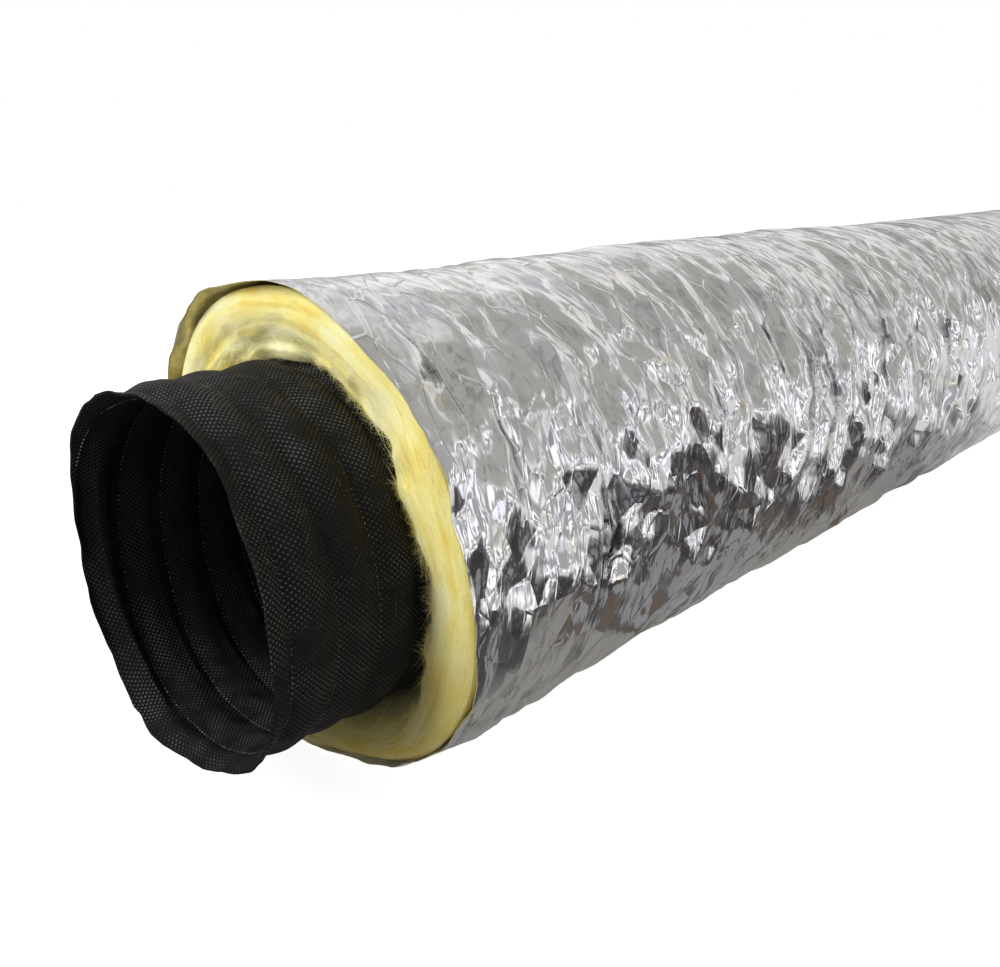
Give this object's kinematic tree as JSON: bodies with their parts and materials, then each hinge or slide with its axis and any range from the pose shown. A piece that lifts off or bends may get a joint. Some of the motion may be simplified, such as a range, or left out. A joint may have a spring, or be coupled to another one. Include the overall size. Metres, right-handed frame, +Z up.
{
  "type": "flexible air duct",
  "caption": "Insulated flexible duct: wire-wound fabric liner inside a glass wool sleeve and a crinkled foil jacket, for joining round air spigots.",
  "frame": {"origin": "centre of the near mouth of the liner, on the duct's axis", "axes": "+X along the duct's axis, away from the near mouth; +Z up, square to the flat that the duct lies on"},
  "size_m": [1, 0.1946, 0.1865],
  "materials": {
    "liner_fabric": "matte",
    "spring_wire": "satin",
    "glass_wool": "matte",
    "foil_film": "gloss"
  },
  "bodies": {
    "liner": {"liner_inner_ply": "liner_fabric", "wire_helix": "spring_wire", "liner_outer_ply": "liner_fabric"},
    "blanket": {"glass_wool_blanket": "glass_wool"},
    "jacket": {"foil_jacket": "foil_film"}
  },
  "joints": [
    {"name": "blanket_slide", "type": "slide", "parent": "liner", "child": "blanket", "axis": [1, 0, 0], "range_m": [-0.055, 0.055]},
    {"name": "jacket_slide", "type": "slide", "parent": "blanket", "child": "jacket", "axis": [1, 0, 0], "range_m": [-0.05, 0.05]}
  ]
}
